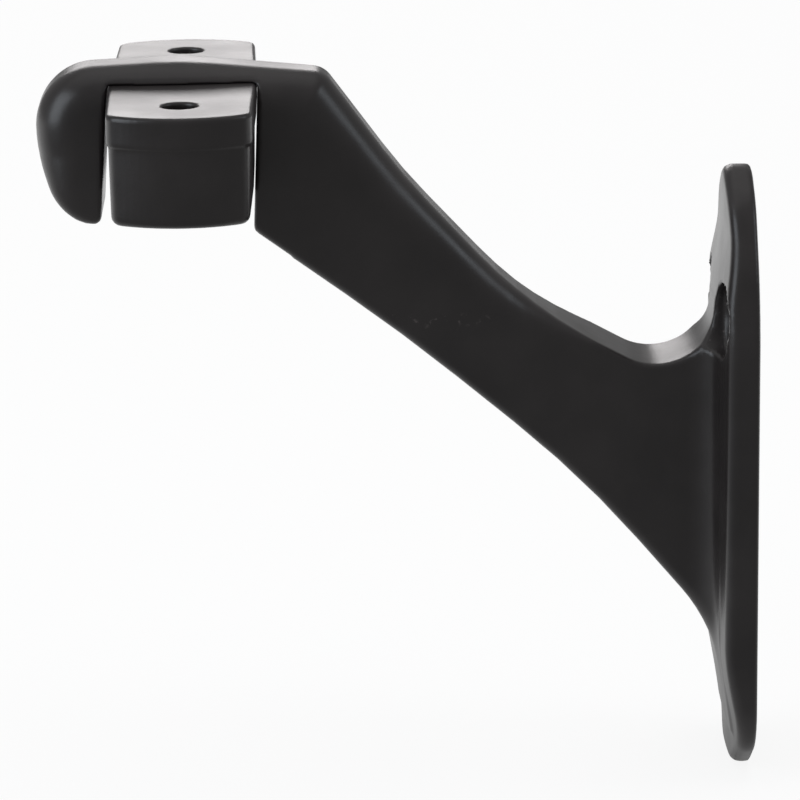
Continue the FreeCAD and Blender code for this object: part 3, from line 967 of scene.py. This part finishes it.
class SaddlePlan:
    """Corners of the saddle in millimetres, from the frame's box and the saddle's sizes."""

    def __init__(self, sizes):
        self.s = Millimetres(sizes)
        self.draft = sizes.draft
        self.low, self.high = (np.array(corner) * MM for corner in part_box(SADDLE_NODE))
        self.rail = (self.low[0] + self.high[0]) / 2
        self.half = (self.high[0] - self.low[0]) / 2
        self.reach = self.high[1]
        self.seat = self.high[2]
        self.foot = self.low[2]

    def plan(self):
        """Top view: a parallel middle, and tapered ears with bowed ends and rounded corners."""
        s = self.s
        corner = self.half - s.ear_taper
        flat = s.ear_flat / 2
        rise = self.reach - flat
        bow = (corner ** 2 + rise ** 2) / (2 * rise)
        # The bow's tangents meet as far past its top as its ends lie before it.
        ear = [
            (self.half, s.middle / 2, 0),
            (corner, flat, s.ear_round),
            (0, 2 * self.reach - flat, bow),
            (-corner, flat, s.ear_round),
            (-self.half, s.middle / 2, 0),
        ]
        return ear + [(-x, -y, radius) for x, y, radius in ear]

    def well(self, side):
        """Bottom view of the hollow under one ear."""
        s = self.s
        lean = (self.seat - self.foot - s.rim_thick) * math.tan(self.draft)
        half = self.half - s.ear_taper - s.rim_step - lean - s.well_wall
        near = side * s.well_web / 2
        far = side * (s.screw_pitch / 2 + s.well_reach)
        corners = ((half, near), (half, far), (-half, far), (-half, near))
        return [(x, y, s.well_round) for x, y in corners]

    def field(self, grid):
        """The saddle: rim over a drafted body, then cut by the screw holes and the hollows.

        The body's side is the top outline, set in by the rim's step and by the draft.
        """
        s = self.s
        x2 = grid.axes[0][:, None] - self.rail
        y2 = grid.axes[1][None, :]
        below = self.seat - s.rim_thick - grid.z
        inset = s.rim_step * smooth(0, s.rim_fall, below)
        inset = inset + math.tan(self.draft) * np.maximum(below, 0)
        around = outline_distance(self.plan(), x2, y2)[:, :, None] + inset
        solid = common(around, grid.z - self.seat, s.top_edge)
        solid = common(solid, self.foot - grid.z, s.foot_edge)
        for side in (-1, 1):
            well = outline_distance(self.well(side), x2, y2)[:, :, None]
            well = common(well, grid.z - self.seat + s.rim_thick, s.foot_edge)
            solid = common(solid, -well, s.bore_edge)
        return common(solid, -self.screw_hole(grid.x, grid.y), s.bore_edge)

    def screw_hole(self, x, y):
        """Field of the two upright holes."""
        s = self.s
        return np.hypot(x - self.rail, np.abs(y) - s.screw_pitch / 2) - s.screw_bore / 2

    def recess(self, points):
        """1 in the screw holes, and 0 a little way outside them."""
        # This mask places the painted glints in the holes.
        return 1 - smooth(GLINT_NEAR, GLINT_FAR, self.screw_hole(points[:, 0], points[:, 1]))


class BRACKET_OT_saddle(bpy.types.Operator):
    """Build the loose saddle that carries the rail screws"""

    bl_idname = "bracket.saddle"
    bl_label = "Saddle"

    def execute(self, context):
        sizes = context.scene.bracket_saddle
        plan = SaddlePlan(sizes)
        grid = Grid(plan.low, plan.high, grid_cell(sizes))
        field = plan.field(grid)
        piece = add_piece("cast_saddle", SADDLE_NODE, field, grid, plan.recess)
        piece.data.materials.append(powder_coat(context.scene.bracket_paint, "saddle_coat"))
        return {"FINISHED"}


# ---------------------------------------------------------------- the coat


def add_node(tree, kind, **inputs):
    """A shader node with some of its inputs set or linked."""
    node = tree.nodes.new(kind)
    for name, value in inputs.items():
        socket = node.inputs[name.replace("_", " ")]
        if isinstance(value, bpy.types.NodeSocket):
            tree.links.new(value, socket)
        else:
            socket.default_value = value
    return node


def add_ramp(tree, value, low, high, to_low, to_high):
    """A number mapped from one range to another and held at its ends."""
    node = tree.nodes.new("ShaderNodeMapRange")
    tree.links.new(value, node.inputs["Value"])
    node.inputs["From Min"].default_value = low
    node.inputs["From Max"].default_value = high
    node.inputs["To Min"].default_value = to_low
    node.inputs["To Max"].default_value = to_high
    return node.outputs["Result"]


def add_mix(tree, share, first, second):
    """A colour between two colours."""
    node = tree.nodes.new("ShaderNodeMix")
    node.data_type = "RGBA"
    sockets = [node.inputs["Factor"]] + [i for i in node.inputs if i.type == "RGBA"]
    for socket, value in zip(sockets, (share, first, second)):
        if isinstance(value, bpy.types.NodeSocket):
            tree.links.new(value, socket)
        else:
            socket.default_value = value
    return next(o for o in node.outputs if o.type == "RGBA")


def add_noise(tree, where, width, detail=PLAIN_DETAIL):
    """Noise with features of about a given width in metres."""
    node = add_node(tree, "ShaderNodeTexNoise", Vector=where, Scale=1 / width, Detail=detail)
    return node.outputs["Fac"]


def powder_coat(look, name):
    """Satin black powder coat over a casting.

    Orange peel and the casting's unevenness are bump. The coat is a little lighter and duller in
    broad patches, where it lies thick, and the screw holes carry lighter specks, which are painted
    glints.
    """
    material = bpy.data.materials.new(name)
    material.use_nodes = True
    tree = material.node_tree
    shader = tree.nodes["Principled BSDF"]
    where = tree.nodes.new("ShaderNodeTexCoord").outputs["Object"]
    recess = tree.nodes.new("ShaderNodeAttribute")
    recess.attribute_name = "recess"
    patches = add_ramp(tree, add_noise(tree, where, look.patch, PATCH_DETAIL), *PATCH_RANGE, 0.0, 1.0)
    # Painted glints: lighter specks, shown only in the screw holes.
    glints = add_ramp(tree, add_noise(tree, where, look.glint_size, GLINT_DETAIL), *GLINT_RANGE, 0.0, 1.0)
    glint_mask = tree.nodes.new("ShaderNodeMath")
    glint_mask.operation = "MULTIPLY"
    tree.links.new(glints, glint_mask.inputs[0])
    tree.links.new(recess.outputs["Fac"], glint_mask.inputs[1])
    colour = add_mix(tree, patches, (*look.colour, 1), (*look.thick, 1))
    # Colour of the painted glints.
    light = (*(GLINT_GAIN * part for part in look.thick), 1)
    colour = add_mix(tree, glint_mask.outputs[0], colour, light)
    tree.links.new(colour, shader.inputs["Base Color"])
    smoothest = look.roughness - ROUGH_BELOW
    roughest = look.roughness + ROUGH_ABOVE
    rough = add_ramp(tree, patches, 0.0, 1.0, smoothest, roughest)
    tree.links.new(rough, shader.inputs["Roughness"])
    cast = add_node(
        tree,
        "ShaderNodeBump",
        Height=add_noise(tree, where, look.cast),
        Strength=1.0,
        Distance=look.cast_height,
    )
    peel = add_node(
        tree,
        "ShaderNodeBump",
        Height=add_noise(tree, where, look.grain),
        Strength=1.0,
        Distance=look.grain_height,
        Normal=cast.outputs["Normal"],
    )
    tree.links.new(peel.outputs["Normal"], shader.inputs["Normal"])
    return material


# ---------------------------------------------------------------- the stage


def add_panel(name, place, size, colour, shown, target, power):
    """A soft rectangular lamp that faces a target and isn't seen by the camera."""
    data = bpy.data.lights.new(name, "AREA")
    data.shape = "RECTANGLE"
    data.size, data.size_y = size
    data.energy = power
    data.color = colour
    lamp = bpy.data.objects.new(name, data)
    bpy.context.scene.collection.objects.link(lamp)
    lamp.location = place
    lamp.rotation_euler = (Vector(target) - Vector(place)).to_track_quat("-Z", "Y").to_euler()
    lamp.visible_camera = False
    lamp.visible_glossy = shown


def add_floor(height, level):
    """A white floor that keeps a faint shadow.

    The camera sees it white; to reflections its light grows from the front back to its level.
    """
    mesh = bpy.data.meshes.new("floor")
    front = [(-FLOOR_REACH, FLOOR_FRONT, height), (FLOOR_REACH, FLOOR_FRONT, height)]
    back = [(FLOOR_REACH, FLOOR_REACH, height), (-FLOOR_REACH, FLOOR_REACH, height)]
    mesh.from_pydata(front + back, [], [(0, 1, 2, 3)])
    floor = bpy.data.objects.new("floor", mesh)
    bpy.context.scene.collection.objects.link(floor)
    material = bpy.data.materials.new("floor_white")
    material.use_nodes = True
    tree = material.node_tree
    tree.nodes.remove(tree.nodes["Principled BSDF"])
    seen = tree.nodes.new("ShaderNodeLightPath").outputs["Is Camera Ray"]
    where = tree.nodes.new("ShaderNodeTexCoord").outputs["Object"]
    depth = add_node(tree, "ShaderNodeSeparateXYZ", Vector=where).outputs["Y"]
    lit = add_ramp(tree, depth, FLOOR_FRONT, FLOOR_LIT, level * FLOOR_DIM, level)
    strength = add_node(tree, "ShaderNodeMapRange", Value=seen, To_Min=lit, To_Max=1.0)
    glow = add_node(tree, "ShaderNodeEmission", Color=WHITE, Strength=strength.outputs["Result"])
    matt = add_node(tree, "ShaderNodeBsdfDiffuse", Color=FLOOR_MATT)
    mix = tree.nodes.new("ShaderNodeMixShader")
    mix.inputs[0].default_value = FLOOR_GLOW
    tree.links.new(matt.outputs[0], mix.inputs[1])
    tree.links.new(glow.outputs[0], mix.inputs[2])
    tree.links.new(mix.outputs[0], tree.nodes["Material Output"].inputs["Surface"])
    mesh.materials.append(material)


def set_world(level):
    """White to the camera, and an even grey room to everything else."""
    world = bpy.data.worlds.new("room")
    bpy.context.scene.world = world
    world.use_nodes = True
    tree = world.node_tree
    seen = tree.nodes.new("ShaderNodeLightPath").outputs["Is Camera Ray"]
    strength = add_ramp(tree, seen, 0.0, 1.0, level, 1.0)
    background = tree.nodes["Background"]
    background.inputs["Color"].default_value = WHITE
    tree.links.new(strength, background.inputs["Strength"])


class BRACKET_OT_stage(bpy.types.Operator):
    """Place the floor, the lamps and the camera"""

    bl_idname = "bracket.stage"
    bl_label = "Stage"

    def execute(self, context):
        look = context.scene.bracket_stage
        low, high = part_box(CASTING_NODE)
        middle = (low + high) / 2
        add_floor(low.z - look.floor_drop, look.floor_level)
        set_world(look.room_level)
        for name, place, size, colour, shown in PANELS:
            add_panel(f"{name}_panel", place, size, colour, shown, middle, getattr(look, name))
        self.place_camera(context.scene, look)
        context.scene.view_settings.view_transform = "Standard"
        return {"FINISHED"}

    def place_camera(self, scene, look):
        """The camera's axes from its pitch, yaw and roll."""
        forward = math.cos(look.pitch)
        ahead = Vector((math.sin(look.yaw) * forward, math.cos(look.yaw) * forward, -math.sin(look.pitch)))
        level = ahead.cross(Vector((0, 0, 1))).normalized()
        upright = level.cross(ahead)
        right = level * math.cos(look.roll) - upright * math.sin(look.roll)
        up = upright * math.cos(look.roll) + level * math.sin(look.roll)
        data = bpy.data.cameras.new("camera")
        data.lens = look.focal
        data.sensor_width = FILM_WIDTH
        data.clip_start = CLIP_NEAR
        data.clip_end = CLIP_FAR
        camera = bpy.data.objects.new("camera", data)
        scene.collection.objects.link(camera)
        turn = Matrix((right, up, -ahead)).transposed().to_4x4()
        place = Vector((look.camera_x, look.camera_y, look.camera_z))
        camera.matrix_world = Matrix.Translation(place) @ turn
        scene.camera = camera


class BRACKET_PT_panel(bpy.types.Panel):
    """Sidebar panel with the steps and the sizes"""

    bl_idname = "BRACKET_PT_panel"
    bl_label = "Handrail bracket"
    bl_space_type = "VIEW_3D"
    bl_region_type = "UI"
    bl_category = "Bracket"

    def draw(self, context):
        for operator in (BRACKET_OT_casting, BRACKET_OT_saddle, BRACKET_OT_stage):
            self.layout.operator(operator.bl_idname)
        for group in GROUPS:
            box = self.layout.box()
            for name in GROUPS[group].__annotations__:
                box.prop(getattr(context.scene, group), name)


GROUPS = {
    "bracket_casting": CastingSizes,
    "bracket_saddle": SaddleSizes,
    "bracket_paint": PaintLook,
    "bracket_stage": StageLook,
}
CLASSES = (*GROUPS.values(), BRACKET_OT_casting, BRACKET_OT_saddle, BRACKET_OT_stage, BRACKET_PT_panel)


def register():
    for item in CLASSES:
        bpy.utils.register_class(item)
    for name, group in GROUPS.items():
        setattr(bpy.types.Scene, name, PointerProperty(type=group))


def unregister():
    for name in GROUPS:
        delattr(bpy.types.Scene, name)
    for item in reversed(CLASSES):
        bpy.utils.unregister_class(item)


def main():
    """Build the pieces and the stage."""
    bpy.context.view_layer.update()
    register()
    bpy.ops.bracket.casting()
    bpy.ops.bracket.saddle()
    bpy.ops.bracket.stage()


if __name__ == "__main__":
    main()
